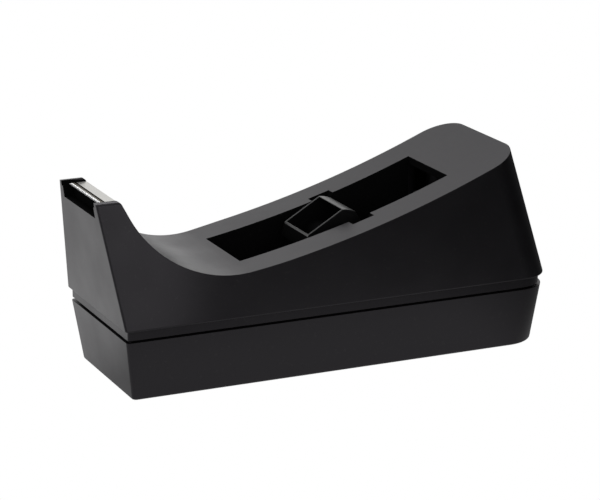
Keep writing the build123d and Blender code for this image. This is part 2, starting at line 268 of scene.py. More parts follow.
# %% Cutter above the deck
def above_deck(drop=0.0, cap=None):
    """Cutter for everything above the deck. A cap also cuts the tower off at that height."""
    line = deck_line(drop)
    if cap is not None:
        line = [(x, min(z, cap)) if x < low_x else (x, z) for x, z in line]
    high = top_z + 4 * over
    beyond = 40
    return across(
        "above_deck", line + [(rear_x + over, high), (front_x - over, high)], -beyond, beyond
    )


deck_points = deck_line()
print("deck points:", len(deck_points), "lowest at z", round(min(p[1] for p in deck_points), 2))

# %% [markdown]
# ## The block of the upper moulding
#
# A ruled stack of rings gives the leaning walls. More rings than the two ends are used, so that
# the twisting part of each flank is smooth. The lowest rings draw in along a quarter circle,
# which is the rounded lip of the skirt.

# %% Block, then deck
lip_radius, lip_steps = 0.5, 4
lip_rings = []
for i in range(lip_steps):
    a = radians(90 * i / lip_steps)
    lip_rings.append(shell_ring(skirt_z + lip_radius * (1 - cos(a)), lip_radius * (1 - sin(a))))
wall_foot = skirt_z + lip_radius
wall_levels = 10
levels = [wall_foot + (top_z - wall_foot) * i / wall_levels for i in range(wall_levels + 1)]
shell = stack("top_shell_skin", lip_rings + [shell_ring(z) for z in levels])
combine(shell, [above_deck()])
print("faces after the deck is cut:", len(shell.data.polygons))

# %% [markdown]
# ## Rounded cheeks
#
# The top of each cheek, which a hand runs over, is rounded on its outer side by a millimetre and
# a half. The cutter is the corner that the rounding takes away, pushed out along the body.

# %% Round the cheeks
cheek_radius = 1.5
flank_angle = degrees(atan(tower_lean))
reach_in = cheek_radius * tan(radians(45 - flank_angle / 2))
arc = corner(
    -tower_half + reach_in, cheek_top - cheek_radius, cheek_radius, 90, 180 - flank_angle, 8
)
outside_y, above_z = -tower_half - over, top_z + over
arc += [(outside_y, arc[-1][1]), (outside_y, above_z), (arc[0][0], above_z)]
corners = []
for side in (1, -1):
    ends = (front_x - over, low_x)
    corners.append(stack("cheek_corner", [[(x, side * y, z) for y, z in arc] for x in ends]))
combine(shell, corners)
print("faces after the cheeks are rounded:", len(shell.data.polygons))

# %% [markdown]
# ## Soft edges
#
# No moulded edge is a perfect corner. The rim of the deck is about half a millimetre round, and
# is rounded now, while it is the only edge up there. Every other edge gets a bevel of about a
# quarter of a millimetre later, for the thin line of light that it has on the real thing. The
# bevel picks its edges by their angle and their height.


# %% Bevel
def soften(obj, width, above=0.0, segments=2, angle=30):
    """Rounds the edges above a height that are sharper than the angle."""
    mesh_data = bmesh.new()
    mesh_data.from_mesh(obj.data)
    weight = mesh_data.edges.layers.float.new("bevel_weight_edge")
    for edge in mesh_data.edges:
        sharp = len(edge.link_faces) == 2 and edge.calc_face_angle(0) > radians(angle)
        high = min(v.co.z for v in edge.verts) > above * MM
        edge[weight] = 1.0 if sharp and high else 0.0
    mesh_data.to_mesh(obj.data)
    mesh_data.free()
    bevel = obj.modifiers.new("soft_edges", "BEVEL")
    bevel.width = width * MM
    bevel.segments = segments
    bevel.limit_method = "WEIGHT"
    bevel.use_clamp_overlap = True
    bake_modifiers(obj)
    obj.data.attributes.remove(obj.data.attributes["bevel_weight_edge"])


rim_radius, clear_of_lip = 0.5, 2.0
soften(shell, rim_radius, above=skirt_z + clear_of_lip, segments=4)
print("faces after the rim is rounded:", len(shell.data.polygons))

# %% [markdown]
# ## The slot and the two axle grooves
#
# The roll hangs in a straight slot. Two grooves run down into its sides, leaning back a little,
# with round ends where the axle rests. They are open at the top, so that hub and roll lift out.

# %% Slot and grooves
slot_half, slot_front, slot_rear = 14.2, -29.5, 44.1
well_bottom = 27.5
axle_x, axle_z, axle_radius = 8.0, 37.6, 2.9
groove_half = axle_radius + 0.2
groove_end = slot_half + 3.2
groove_lean = radians(21.9)


def groove_profile(half_width, rise=40.0):
    """U-shaped profile round the axle, leaning back as it rises."""
    points = corner(0, 0, half_width, 180, 360, 16)
    points += [(half_width, rise), (-half_width, rise)]
    c, s = cos(groove_lean), sin(groove_lean)
    turned = [(x * c + z * s, z * c - x * s) for x, z in points]
    return [(axle_x + x, axle_z + z) for x, z in turned]


cuts = [box("slot", slot_front, slot_rear, -slot_half, slot_half, well_bottom - 1, top_z + over)]
for side in (-1, 1):
    ends = (side * (slot_half - 1), side * groove_end)
    cuts.append(across("groove", groove_profile(groove_half), *ends))
combine(shell, cuts)
print("faces with slot and grooves:", len(shell.data.polygons))

# %% [markdown]
# ## The seat of the blade
#
# At the top of the tower the moulding is cut down between two thin cheeks, which guard the ends
# of the blade. Under the front edge of that seat a recess leaves the teeth standing free, so that
# a finger can hold the tape's end against the blade's underside.

# %% Seat and recess
cheek_thickness, seat_drop = 1.9, 1.6
cheek_inner = tower_half - cheek_thickness
seat_z = cheek_top - seat_drop
recess_depth, recess_height, recess_side = 4.0, 3.6, 0.9
recess_half = cheek_inner - recess_side
seat = box("seat", front_x - over, blend_start, -cheek_inner, cheek_inner, seat_z, top_z + over)
recess = box(
    "recess", front_x - over, front_x + recess_depth, -recess_half, recess_half,
    seat_z - recess_height, top_z,
)
combine(shell, [seat, recess])
print("faces with seat and recess:", len(shell.data.polygons))

# %% [markdown]
# The edges of slot, grooves, seat and recess are softened before the inside is hollowed out,
# because edges that nobody sees need no bevel.


# %% Smooth shading
def smooth(obj, angle=35):
    """Smooth shading, kept sharp where two faces meet at more than the angle.

    Large faces then decide the normals at their corners, so that a bevel doesn't bend the light
    far into the flat face beside it.
    """
    mesh = obj.data
    mesh.shade_smooth()
    mesh_data = bmesh.new()
    mesh_data.from_mesh(mesh)
    for edge in mesh_data.edges:
        edge.smooth = len(edge.link_faces) == 2 and edge.calc_face_angle(0) < radians(angle)
    mesh_data.to_mesh(mesh)
    mesh_data.free()
    weighted = obj.modifiers.new("large_faces_lead", "WEIGHTED_NORMAL")
    weighted.keep_sharp = True
    weighted.weight = 90


small_edge = 0.22
soften(shell, small_edge)
print("faces after the bevel:", len(shell.data.polygons))

# %% [markdown]
# ## The inside
#
# The moulding is a shell 2.4 mm thick. Its cavity is a smaller copy of the block, capped by the
# lowered deck line. Before it is cut out, the cavity itself loses the places where plastic stays:
# the two walls of the roll well, the ribs round the axle grooves and the four screw bosses.

# %% Hollow it out
wall = 2.4
groove_wall, well_wall = 1.7, 2.0
cavity_levels, open_below = 6, 1.0
rise = top_z - skirt_z + open_below
inner_levels = [skirt_z - open_below + rise * i / cavity_levels for i in range(cavity_levels + 1)]
cavity = stack("cavity", [shell_ring(z, wall) for z in inner_levels])
kept = [above_deck(wall, cap=seat_z - recess_height - wall)]
for side in (-1, 1):
    inner, outer = side * slot_half, side * (slot_half + well_wall)
    kept.append(box("well_wall", slot_front - well_wall, slot_rear + well_wall,
                    min(inner, outer), max(inner, outer), well_bottom, top_z))
    rib = groove_profile(groove_half + groove_wall)
    ends = (side * (slot_half + 0.1), side * (groove_end + groove_wall))
    kept.append(across("groove_rib", rib, *ends))
screw_y, post_top, screw_boss_radius = 14.48, 21.6, 3.8
screw_places = [(x, y) for x in (-57.0, 55.5) for y in (-screw_y, screw_y)]
kept += [post("boss", x, y, post_top, top_z, screw_boss_radius) for x, y in screw_places]
combine(cavity, kept)
combine(shell, [cavity])
print("faces of the hollow moulding:", len(shell.data.polygons))

# %% [markdown]
# ## The inset band and its tongue
#
# Below the skirt the moulding steps in to a plain band, which the shadow gap runs under. A
# thinner tongue goes on down inside the rim of the base and keeps the two halves in line. Both are
# rings: an outer wall and an inner wall, joined at top and bottom.


# %% Rings of the base and the band
base_half, base_corner = 26.05, 1.2
base_front, base_rear = front_x + 6.0, rear_x - 0.3
side_draw, front_draw, rear_draw = 3.0, 2.7, 2.0


def base_ring(z, inset=0.0):
    """Plan of the lower moulding at height z. It draws in towards the bottom."""
    down = (rim_top - z) / (rim_top - base_bottom)
    half = base_half - side_draw * down - inset
    points = plan(
        base_front + front_draw * down + inset,
        base_rear - rear_draw * down - inset,
        half,
        half,
        base_corner,
        rear_corner - inset,
    )
    return [(x, y, z) for x, y in points]


def band_ring(z, inset, rear_inset):
    """Plan of the band at height z: the skirt's foot, drawn in by the insets."""
    half = skirt_half - inset
    points = plan(
        skirt_front + inset, rear_x - rear_inset, half, half, front_corner, rear_corner - inset
    )
    return [(x, y, z) for x, y in points]


def tube(name, rings):
    """Closed wall through a loop of rings: the last one is joined back to the first."""
    mesh_data = bmesh.new()
    rows = [[mesh_data.verts.new(p) for p in ring] for ring in rings]
    for low, high in zip(rows, rows[1:] + rows[:1]):
        add_wall(mesh_data, low, high)
    return to_object(name, mesh_data)


# %% Band and tongue
tongue_z = band_bottom - 3.4
band_top = skirt_z + 0.9
band_inset, band_rear_inset, band_soft = 1.0, 1.7, 0.1
tongue_outer, tongue_inner = 2.05, 3.65


def tongue_ring(z, inset):
    return [(x, y, z) for x, y, _ in base_ring(tongue_z, inset)]


band = tube(
    "shell_band",
    [
        band_ring(band_top, band_inset, band_rear_inset),
        band_ring(band_bottom + band_soft, band_inset, band_rear_inset),
        band_ring(band_bottom, band_inset + band_soft, band_rear_inset + band_soft),
        tongue_ring(band_bottom, tongue_outer),
        tongue_ring(tongue_z, tongue_outer),
        tongue_ring(tongue_z, tongue_inner),
        tongue_ring(band_top, tongue_inner),
    ],
)
print("band faces:", len(band.data.polygons))

# %% [markdown]
# ## The base tray
#
# The lower moulding is a tray with walls that draw in downwards, which lets it out of its mould.
# Its bottom edge is round, its rim is flat and nearly two millimetres wide, and four posts inside
# take the screws. It is one tube of rings: up the outside, over the rim and down the inside, with
# a floor closing each side at the bottom.

# %% Tray
edge_radius, edge_steps = 0.8, 4
outside = [base_ring(base_bottom, edge_radius)]
for i in range(1, edge_steps + 1):
    a = radians(90 * i / edge_steps)
    outside.append(base_ring(base_bottom + edge_radius * (1 - cos(a)), edge_radius * (1 - sin(a))))
rim_soft, rim_break = 0.12, 0.03
outside += [
    base_ring(rim_top - rim_soft),
    base_ring(rim_top - rim_break, rim_break),
    base_ring(rim_top, rim_soft),
]
base_wall, floor_z = 1.8, 2.7
inside = [
    base_ring(rim_top, base_wall - rim_soft),
    base_ring(rim_top - rim_soft, base_wall),
    base_ring(floor_z, base_wall),
]
tray = stack("base_tray", outside + inside)
print("tray faces:", len(tray.data.polygons))

# %% Posts for the screws
post_radius, head_bore, screw_bore, land = 4.2, 3.0, 1.7, 2.6
posts = [post("post", x, y, 2.0, post_top, post_radius) for x, y in screw_places]
combine(tray, posts, "UNION")
bores = [post("bore", x, y, 0.0, post_top - land, head_bore) for x, y in screw_places]
bores += [post("screw_hole", x, y, 0.0, post_top + 1, screw_bore) for x, y in screw_places]
combine(tray, bores)
print("tray faces with posts:", len(tray.data.polygons))

# %% [markdown]
# The non-slip pad is glued into a shallow pocket under the tray. Its place is read from the CAD
# pad, with a small gap all round.


# %% Pocket for the pad
def rounded_plan(x0, x1, half, radius, z):
    """Ring of a rounded rectangle at height z."""
    points = []
    for cx, cy, start in (
        (x0 + radius, -half + radius, 180),
        (x1 - radius, -half + radius, 270),
        (x1 - radius, half - radius, 0),
        (x0 + radius, half - radius, 90),
    ):
        points += corner(cx, cy, radius, start, start + 90, 8)
    return [(x, y, z) for x, y in points]


pad_low, pad_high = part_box("nonslip_pad")
gap, pad_corner = 0.15, 6.0
pad_x0, pad_x1 = pad_low[0] / MM - gap, pad_high[0] / MM + gap
pad_half = pad_high[1] / MM + gap
pocket = [
    rounded_plan(pad_x0, pad_x1, pad_half, pad_corner + gap, z) for z in (-1.0, pad_high[2] / MM)
]
combine(tray, [stack("pad_pocket", pocket)])
print("pocket for the pad, mm:", round(pad_x1 - pad_x0, 1), "by", round(2 * pad_half, 1))

# %% [markdown]
# ## The toothed blade
#
# The blade is one strip of thin steel, bent and punched. A sharp crease along it stiffens it and
# divides the landing plate behind from the toothed edge in front. The strip is a stack of side
# sections, one for every half tooth: sections at a tip reach forward, sections at a root stop
# short, and the quads between them are the flanks of the teeth.

# %% Section of the blade
blade_half = cheek_inner - 0.3
sheet = 0.5
plate_z = seat_z + sheet
blade_rear = foot_x - (plate_z - foot_z) / tan(steep)
crease = blade_rear - 3.8
crease_half, crease_depth, crease_top, crease_under = 0.35, 0.45, 0.09, 0.18
bend_x = front_x + recess_depth
upturn = radians(10)
reach, tooth_depth, tooth_pitch = 1.5, 0.9, 1.25
tooth_foot = 0.8 * (reach - tooth_depth)


def blade_section(y, tip):
    """Side section of the strip at y. tip is 1 at the point of a tooth and 0 at its root."""
    out = reach - tooth_depth * (1 - tip)
    edge_x = bend_x - out * cos(upturn)
    edge_z = seat_z + out * sin(upturn)
    foot_of_tooth = (bend_x - tooth_foot * cos(upturn), seat_z + tooth_foot * sin(upturn))
    profile = [
        (blade_rear, seat_z + 0.08),
        (blade_rear, plate_z - 0.1),
        (blade_rear - 0.1, plate_z),
        (crease + crease_half, plate_z),
        (crease + crease_top, plate_z - crease_depth),
        (crease - crease_top, plate_z - crease_depth),
        (crease - crease_half, plate_z),
        (bend_x, plate_z),
        (foot_of_tooth[0], foot_of_tooth[1] + sheet),
        (edge_x - 0.02, edge_z + 0.3),
        (edge_x, edge_z + 0.02),
        foot_of_tooth,
        (bend_x, seat_z),
        (crease - crease_half, seat_z),
        (crease - crease_under, seat_z - crease_depth),
        (crease + crease_under, seat_z - crease_depth),
        (crease + crease_half, seat_z),
        (blade_rear - 0.08, seat_z),
    ]
    return [(x, y, z) for x, z in profile]


print("blade from x", round(bend_x - reach * cos(upturn), 2), "to", round(blade_rear, 2))

# %% [markdown]
# Two short legs under the plate hook the strip into the moulding.


# %% Blade
half_teeth = int(2 * blade_half / tooth_pitch) * 2
step = 2 * blade_half / half_teeth
sections = [blade_section(-blade_half + i * step, i % 2) for i in range(half_teeth + 1)]
blade = stack("toothed_blade", sections)
leg_x = crease + crease_half + 1.2
leg_half, leg_depth = 2.5, 3.2
leg_ends = (leg_x - sheet / 2, leg_x + sheet / 2)
legs = [
    box("leg", *leg_ends, y - leg_half, y + leg_half, seat_z - leg_depth, seat_z + 0.2)
    for y in (-9.0, 9.0)
]
combine(blade, legs, "UNION")
print("teeth:", half_teeth // 2)

# %% [markdown]
# ## The core hub
#
# The hub is as wide as the tape and fits inside the roll's paper core. It isn't a plain roller:
# four flats leave only its rounded corners to touch the core, and two opposite flats open into
# deep pockets, which keep the moulding thin. It is drawn square to its own flats and then turned
# to the angle at which it rests in the photograph.

# %% Hub
hub_radius, hub_flat, hub_half = 12.6, 10.4, 9.3
hub_pitch = radians(30.7)
flat_edge = sqrt(hub_radius**2 - hub_flat**2)


def on_hub(points):
    """Turns hub profile points to the resting angle and moves them onto the axle."""
    c, s = cos(hub_pitch), sin(hub_pitch)
    return [(axle_x + u * c - w * s, axle_z + u * s + w * c) for u, w in points]


def hub_outline(inset=0.0):
    start = degrees(acos(hub_flat / hub_radius))
    points = []
    for quarter in range(4):
        points += corner(0, 0, hub_radius - inset, 90 * quarter + start, 90 * quarter + 90 - start, 8)
    return points


def round_profile(radius, steps=48):
    turns = [2 * pi * i / steps for i in range(steps)]
    return [(radius * cos(a), radius * sin(a)) for a in turns]


hub = across("core_hub_drum", on_hub(hub_outline()), -hub_half, hub_half)
print("hub outline points:", len(hub_outline()))

# %% [markdown]
# The pockets leave thin walls, and a web between them in the middle. A boss round the bore
# stiffens the web where the axle runs.

# %% Pockets, boss and bore
side_wall, end_wall, lip, web = 1.3, 0.8, 0.2, 0.8
mouth = flat_edge - lip
pocket_half = hub_flat - side_wall
pocket_profile = [
    (-mouth, hub_flat + 1),
    (-mouth, hub_flat),
    (-pocket_half, mouth),
    (-pocket_half, web),
    (pocket_half, web),
    (pocket_half, mouth),
    (mouth, hub_flat),
    (mouth, hub_flat + 1),
]
turned_over = [(-u, -w) for u, w in pocket_profile]
boss_radius, bore_radius, boss_end = axle_radius + 1.9, axle_radius + 0.06, hub_half - 0.5
pockets = [
    across("pocket", on_hub(p), -hub_half + end_wall, hub_half - end_wall)
    for p in (pocket_profile, turned_over)
]
combine(hub, pockets)
combine(hub, [across("hub_boss", on_hub(round_profile(boss_radius)), -boss_end, boss_end)], "UNION")
bore_end = hub_half + 1
combine(hub, [across("hub_bore", on_hub(round_profile(bore_radius)), -bore_end, bore_end)])
hub_edge = 0.25
soften(hub, hub_edge, segments=3)
print("hub faces:", len(hub.data.polygons))

# %% [markdown]
# ## Riding on the CAD bodies
#
# Everything but the hub and its axle belongs to the housing. The CAD node that each new piece
# stands for is hidden, so that node isn't drawn twice.

# %% Ride and replace
for piece in (shell, band, tray, blade, hub):
    smooth(piece)
for piece, node, slot_name in (
    (shell, "top_shell", "housing"),
    (band, "top_shell", "housing"),
    (tray, "base_pan", "housing"),
    (blade, "cutter_blade", "blade_steel"),
):
    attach(piece, "housing")
    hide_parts(node)
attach(hub, "hub")
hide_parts("core_hub")
print("pieces made here:", [piece.name for piece in (shell, band, tray, blade, hub)])

# %% [markdown]
# ## Shared effects
#
# Three effects are wanted on more than one material, so each is a node group. Mould grain is the
# fine spark-eroded texture of a satin moulding. Handling gives large soft smudges that make the
# gloss uneven. Brushing gives the long fine lines of rolled and ground steel.


# %% Helpers for node groups
def new_group(name, inputs, outputs):
    """Node group with float inputs given as {name: default} and float outputs."""
    group = bpy.data.node_groups.new(name, "ShaderNodeTree")
    for label, default in inputs.items():
        socket = group.interface.new_socket(label, in_out="INPUT", socket_type="NodeSocketFloat")
        socket.default_value = default
    for label in outputs:
        group.interface.new_socket(label, in_out="OUTPUT", socket_type="NodeSocketFloat")
    start = group.nodes.new("NodeGroupInput")
    end = group.nodes.new("NodeGroupOutput")
    return group, start, end


def node(tree, kind, **settings):
    """Adds a node. A setting that names an input socket sets its value."""
    made = tree.nodes.new(kind)
    for key, value in settings.items():
        label = key.replace("_", " ").title()
        if hasattr(made, key):
            setattr(made, key, value)
        else:
            made.inputs[label].default_value = value
    return made


def math(tree, operation, a, b):
    """Math node on two values, each a number or a socket."""
    made = tree.nodes.new("ShaderNodeMath")
    made.operation = operation
    for socket, value in zip(made.inputs, (a, b)):
        if isinstance(value, (int, float)):
            socket.default_value = value
        else:
            tree.links.new(value, socket)
    return made.outputs[0]


# %% Mould grain
def make_grain():
    group, start, end = new_group("mould_grain", {"Cells per metre": 3000.0}, ["Height"])
    place = node(group, "ShaderNodeTexCoord").outputs["Object"]
    fine = node(group, "ShaderNodeTexNoise", detail=3.0, roughness=0.6)
    cells = node(group, "ShaderNodeTexVoronoi")
    for texture in (fine, cells):
        group.links.new(place, texture.inputs["Vector"])
        group.links.new(start.outputs["Cells per metre"], texture.inputs["Scale"])
    pits = math(group, "MULTIPLY", cells.outputs["Distance"], 0.4)
    group.links.new(math(group, "ADD", fine.outputs["Fac"], pits), end.inputs["Height"])
    return group


mould_grain = make_grain()
print("grain nodes:", len(mould_grain.nodes))


# %% Handling
def make_handling():
    group, start, end = new_group("handling", {"Low": 0.3, "High": 0.5}, ["Gloss", "Dust"])
    place = node(group, "ShaderNodeTexCoord").outputs["Object"]
    smudge = node(group, "ShaderNodeTexNoise", scale=55.0, detail=4.0, roughness=0.55)
    speck = node(group, "ShaderNodeTexNoise", scale=900.0, detail=2.0)
    for texture in (smudge, speck):
        group.links.new(place, texture.inputs["Vector"])
    spread = node(group, "ShaderNodeMapRange")
    spread.inputs["From Min"].default_value = 0.35
    spread.inputs["From Max"].default_value = 0.65
    group.links.new(smudge.outputs["Fac"], spread.inputs["Value"])
    group.links.new(start.outputs["Low"], spread.inputs["To Min"])
    group.links.new(start.outputs["High"], spread.inputs["To Max"])
    group.links.new(spread.outputs["Result"], end.inputs["Gloss"])
    dust = node(group, "ShaderNodeMapRange")
    dust.inputs["From Min"].default_value = 0.62
    dust.inputs["From Max"].default_value = 0.78
    group.links.new(speck.outputs["Fac"], dust.inputs["Value"])
    group.links.new(dust.outputs["Result"], end.inputs["Dust"])
    return group


handling = make_handling()
print("handling nodes:", len(handling.nodes))


# %% Brushing
def make_brushing():
    group, start, end = new_group("brushing", {"Lines per metre": 4000.0}, ["Lines"])
    place = node(group, "ShaderNodeTexCoord").outputs["Object"]
    stretch = node(group, "ShaderNodeMapping")
    stretch.inputs["Scale"].default_value = (1.0, 0.03, 1.0)
    lines = node(group, "ShaderNodeTexNoise", detail=2.0)
    group.links.new(place, stretch.inputs["Vector"])
    group.links.new(stretch.outputs["Vector"], lines.inputs["Vector"])
    group.links.new(start.outputs["Lines per metre"], lines.inputs["Scale"])
    group.links.new(lines.outputs["Fac"], end.inputs["Lines"])
    return group


brushing = make_brushing()
print("node groups:", [g.name for g in bpy.data.node_groups])

# %% [markdown]
# ## Three blacks
#
# Housing and hub are both black, but not alike. The housing is satin: its fine grain spreads a
# reflection without hiding it, so that a face turned away from the light still shows a grey
# sheen, with a faint violet tint. The hub was moulded in a polished tool and is glossier, with
# bright edges. Almost all that is seen of a black plastic is its reflection, so the base colour
# stays very dark. The third black is painted shade: it sends back no reflection at all, and is put
# on walls deep inside and other places where shade falls.


# %% Plastics
def new_material(name, metallic=0.0):
    material = bpy.data.materials.new(name)
    material.use_nodes = True
    tree = material.node_tree
    shader = tree.nodes["Principled BSDF"]
    shader.inputs["Metallic"].default_value = metallic
    return material, tree, shader


def use_group(tree, group, **values):
    made = tree.nodes.new("ShaderNodeGroup")
    made.node_tree = group
    for key, value in values.items():
        made.inputs[key.replace("_", " ").capitalize()].default_value = value
    return made


def black_plastic(name, dark, light, gloss_low, gloss_high, grain_per_metre, grain_depth):
    """Moulded plastic: dark is its colour, light the colour of the dust on it."""
    material, tree, shader = new_material(name)
    touched = use_group(tree, handling, low=gloss_low, high=gloss_high)
    tree.links.new(touched.outputs["Gloss"], shader.inputs["Roughness"])
    colour = node(tree, "ShaderNodeMix", data_type="RGBA")
    colour.inputs["A"].default_value = (*dark, 1)
    colour.inputs["B"].default_value = (*light, 1)
    tree.links.new(touched.outputs["Dust"], colour.inputs["Factor"])
    tree.links.new(colour.outputs["Result"], shader.inputs["Base Color"])
    grain = use_group(tree, mould_grain, cells_per_metre=grain_per_metre)
    bump = node(tree, "ShaderNodeBump", strength=grain_depth, distance=0.00005)
    tree.links.new(grain.outputs["Height"], bump.inputs["Height"])
    tree.links.new(bump.outputs["Normal"], shader.inputs["Normal"])
    return material


# %% Mix the three blacks
satin_black = black_plastic(
    "satin_black_plastic",
    dark=(0.0040, 0.0038, 0.0045), light=(0.012, 0.012, 0.012),
    gloss_low=0.31, gloss_high=0.37, grain_per_metre=2600, grain_depth=0.22,
)
satin_shader = satin_black.node_tree.nodes["Principled BSDF"]
satin_shader.inputs["Specular Tint"].default_value = (0.97, 0.92, 1.0, 1)
gloss_black = black_plastic(
    "gloss_black_plastic",
    dark=(0.003, 0.003, 0.0033), light=(0.008, 0.008, 0.008),
    gloss_low=0.26, gloss_high=0.34, grain_per_metre=1500, grain_depth=0.05,
)
# Painted shade: a black that sends back no reflection, for places where shade falls.
painted_shade_black = black_plastic(
    "painted_shade_black_plastic",
    dark=(0.0045, 0.0045, 0.0047), light=(0.0075, 0.0075, 0.0075),
    gloss_low=0.55, gloss_high=0.7, grain_per_metre=2600, grain_depth=0.3,
)
painted_shade_shader = painted_shade_black.node_tree.nodes["Principled BSDF"]
# No reflection at all: this is what makes this black a painted shade.
painted_shade_shader.inputs["Specular IOR Level"].default_value = 0.0
print("blacks:", [m.name for m in (satin_black, gloss_black, painted_shade_black)])

# %% [markdown]
# ## Steel
#
# The blade is plated steel, brushed along its length. In front of the crease it is rougher, where
# the strip is knurled to hold the tape, and darker, which is painted shade of the knurl's ridges.
# The crease itself is painted dark as painted shade, and the points of the teeth are freshly
# ground. Axle and screws are plain drawn steel.


# %% Steel
def steel(name, tint, roughness):
    material, tree, shader = new_material(name, metallic=1.0)
    lines = use_group(tree, brushing, lines_per_metre=5000)
    gloss = node(tree, "ShaderNodeMapRange")
    gloss.inputs["To Min"].default_value = roughness - 0.08
    gloss.inputs["To Max"].default_value = roughness + 0.12
    tree.links.new(lines.outputs["Lines"], gloss.inputs["Value"])
    tree.links.new(gloss.outputs["Result"], shader.inputs["Roughness"])
    colour = node(tree, "ShaderNodeMix", data_type="RGBA")
    colour.inputs["A"].default_value = (*[0.85 * c for c in tint], 1)
    colour.inputs["B"].default_value = (*tint, 1)
    tree.links.new(lines.outputs["Lines"], colour.inputs["Factor"])
    tree.links.new(colour.outputs["Result"], shader.inputs["Base Color"])
    bump = node(tree, "ShaderNodeBump", strength=0.15, distance=0.00003)
    tree.links.new(lines.outputs["Lines"], bump.inputs["Height"])
    tree.links.new(bump.outputs["Normal"], shader.inputs["Normal"])
    return material


# %% Mix the steels
plate_steel = steel("plated_blade_steel", (0.67, 0.66, 0.63), 0.32)
ground_steel = steel("ground_tooth_steel", (0.92, 0.92, 0.92), 0.25)
# Painted shade: the knurled strip is rougher, and darker than the plate for the shade of its ridges.
knurled_shade_steel = steel("knurled_strip_shade_steel", (0.15, 0.135, 0.11), 0.5)
# Painted shade: a dark steel for the shade in the bottom of the crease.
crease_shade_steel = steel("painted_crease_shade_steel", (0.05, 0.045, 0.04), 0.6)
drawn_steel = steel("drawn_steel", (0.5, 0.5, 0.51), 0.3)
steels = (plate_steel, ground_steel, knurled_shade_steel, crease_shade_steel, drawn_steel)
print("steels:", [m.name for m in steels])

# %% [markdown]
# A face of the blade takes its steel from where it lies: dark steel in the crease as painted
# shade, ground steel on the teeth, knurled steel darkened as painted shade between the teeth and
# the crease, and plated steel behind.

# %% Steels on the blade
for material in (plate_steel, knurled_shade_steel, ground_steel, crease_shade_steel):
    blade.data.materials.append(material)
PLATED, KNURLED_SHADE, GROUND, CREASE_SHADE = 0, 1, 2, 3
tooth_root_x = bend_x - tooth_foot * cos(upturn)
hair = 0.02


def steel_at(x, z):
    # Painted shade in the crease.
    if abs(x - crease) < crease_half + 0.01 and z < plate_z - hair:
        return CREASE_SHADE
    if x < tooth_root_x - hair:
        return GROUND
    return KNURLED_SHADE if x < crease else PLATED


for face in blade.data.polygons:
    face.material_index = steel_at(face.center.x / MM, face.center.z / MM)
counts = [sum(f.material_index == i for f in blade.data.polygons) for i in range(4)]
print("faces plated, knurled, ground, crease shade:", counts)

# %% [markdown]
# ## Cement and rubber
#
# The ballast and the pad are out of sight, but still have the finish of the real thing. Both are
# a rough ground with lumps of two shades.


# %% Cement and rubber
def coarse(name, dark, light, roughness, scale, depth):
    material, tree, shader = new_material(name)
    shader.inputs["Roughness"].default_value = roughness
    place = node(tree, "ShaderNodeTexCoord").outputs["Object"]
    lumps = node(tree, "ShaderNodeTexNoise", scale=scale, detail=5.0)
    tree.links.new(place, lumps.inputs["Vector"])
    colour = node(tree, "ShaderNodeMix", data_type="RGBA")
    colour.inputs["A"].default_value = (*dark, 1)
    colour.inputs["B"].default_value = (*light, 1)
    tree.links.new(lumps.outputs["Fac"], colour.inputs["Factor"])
    tree.links.new(colour.outputs["Result"], shader.inputs["Base Color"])
    bump = node(tree, "ShaderNodeBump", strength=0.5, distance=depth)
    tree.links.new(lumps.outputs["Fac"], bump.inputs["Height"])
    tree.links.new(bump.outputs["Normal"], shader.inputs["Normal"])
    return material


cement = coarse("cast_cement", (0.045, 0.043, 0.04), (0.08, 0.078, 0.074), 0.9, 700.0, 0.0003)
rubber = coarse("pad_rubber", (0.02, 0.02, 0.02), (0.035, 0.035, 0.035), 0.8, 1800.0, 0.0001)
print("coarse materials:", cement.name, rubber.name)

# %% [markdown]
# ## Materials on the pieces
#
# The three housing pieces are satin and the hub is glossy. Their material slots are emptied
# first, in case a cut has left one.

# %% Put the plastics on
for piece in (shell, band, tray, hub):
    piece.data.materials.clear()
    piece.data.materials.append(gloss_black if piece is hub else satin_black)
    print(piece.name, "is", piece.data.materials[0].name)

# %% [markdown]
# The walls of the slot, the recess under the teeth and the insides of the cheeks lie in their own
# shade. They take the black without reflection, which is painted shade there. Those are the faces
# of the upper moulding that lie more than a bevel's width below the deck inside the slot, or
# between the cheeks below their top and behind the front face.

# %% Painted shade on the inner walls
SHINY, PAINTED_SHADE = 0, 1
near, cheek_skin = 0.1, 0.15
below_deck, below_cheek, behind_front = 0.6, 0.4, 0.4
ramp_points = [p for p in deck_points if p[0] > low_x]


def in_slot(x, y, z):
    deck_z = min(ramp_points, key=lambda p: abs(p[0] - x))[1]
    inside = slot_front - near < x < slot_rear + near and abs(y) < groove_end + near
    return inside and z < deck_z - below_deck


def in_recess(x, y, z):
    front_face = skirt_front - front_lean * (z - skirt_z)
    inside = front_face + behind_front < x < bend_x + near and abs(y) < cheek_inner + near
    return inside and z > seat_z - recess_height - near


def on_cheek(x, y, z):
    return abs(abs(y) - cheek_inner) < cheek_skin and z > seat_z - near and x < blend_start


# Painted shade: the faces picked below get the black without reflection.
shell.data.materials.append(painted_shade_black)
for face in shell.data.polygons:
    place = face.center / MM
    between = (in_recess(*place) or on_cheek(*place)) and place.z < cheek_top - below_cheek
    face.material_index = PAINTED_SHADE if in_slot(*place) or between else SHINY
print("painted shade faces of the shell:", sum(f.material_index == PAINTED_SHADE for f in shell.data.polygons))

# %% [markdown]
# In the hub, the insides of the pockets take the black without reflection as painted shade, and
# so does the arc at its low front corner, which faces the dark wall of the slot. Places on the hub
# are measured along its flats.

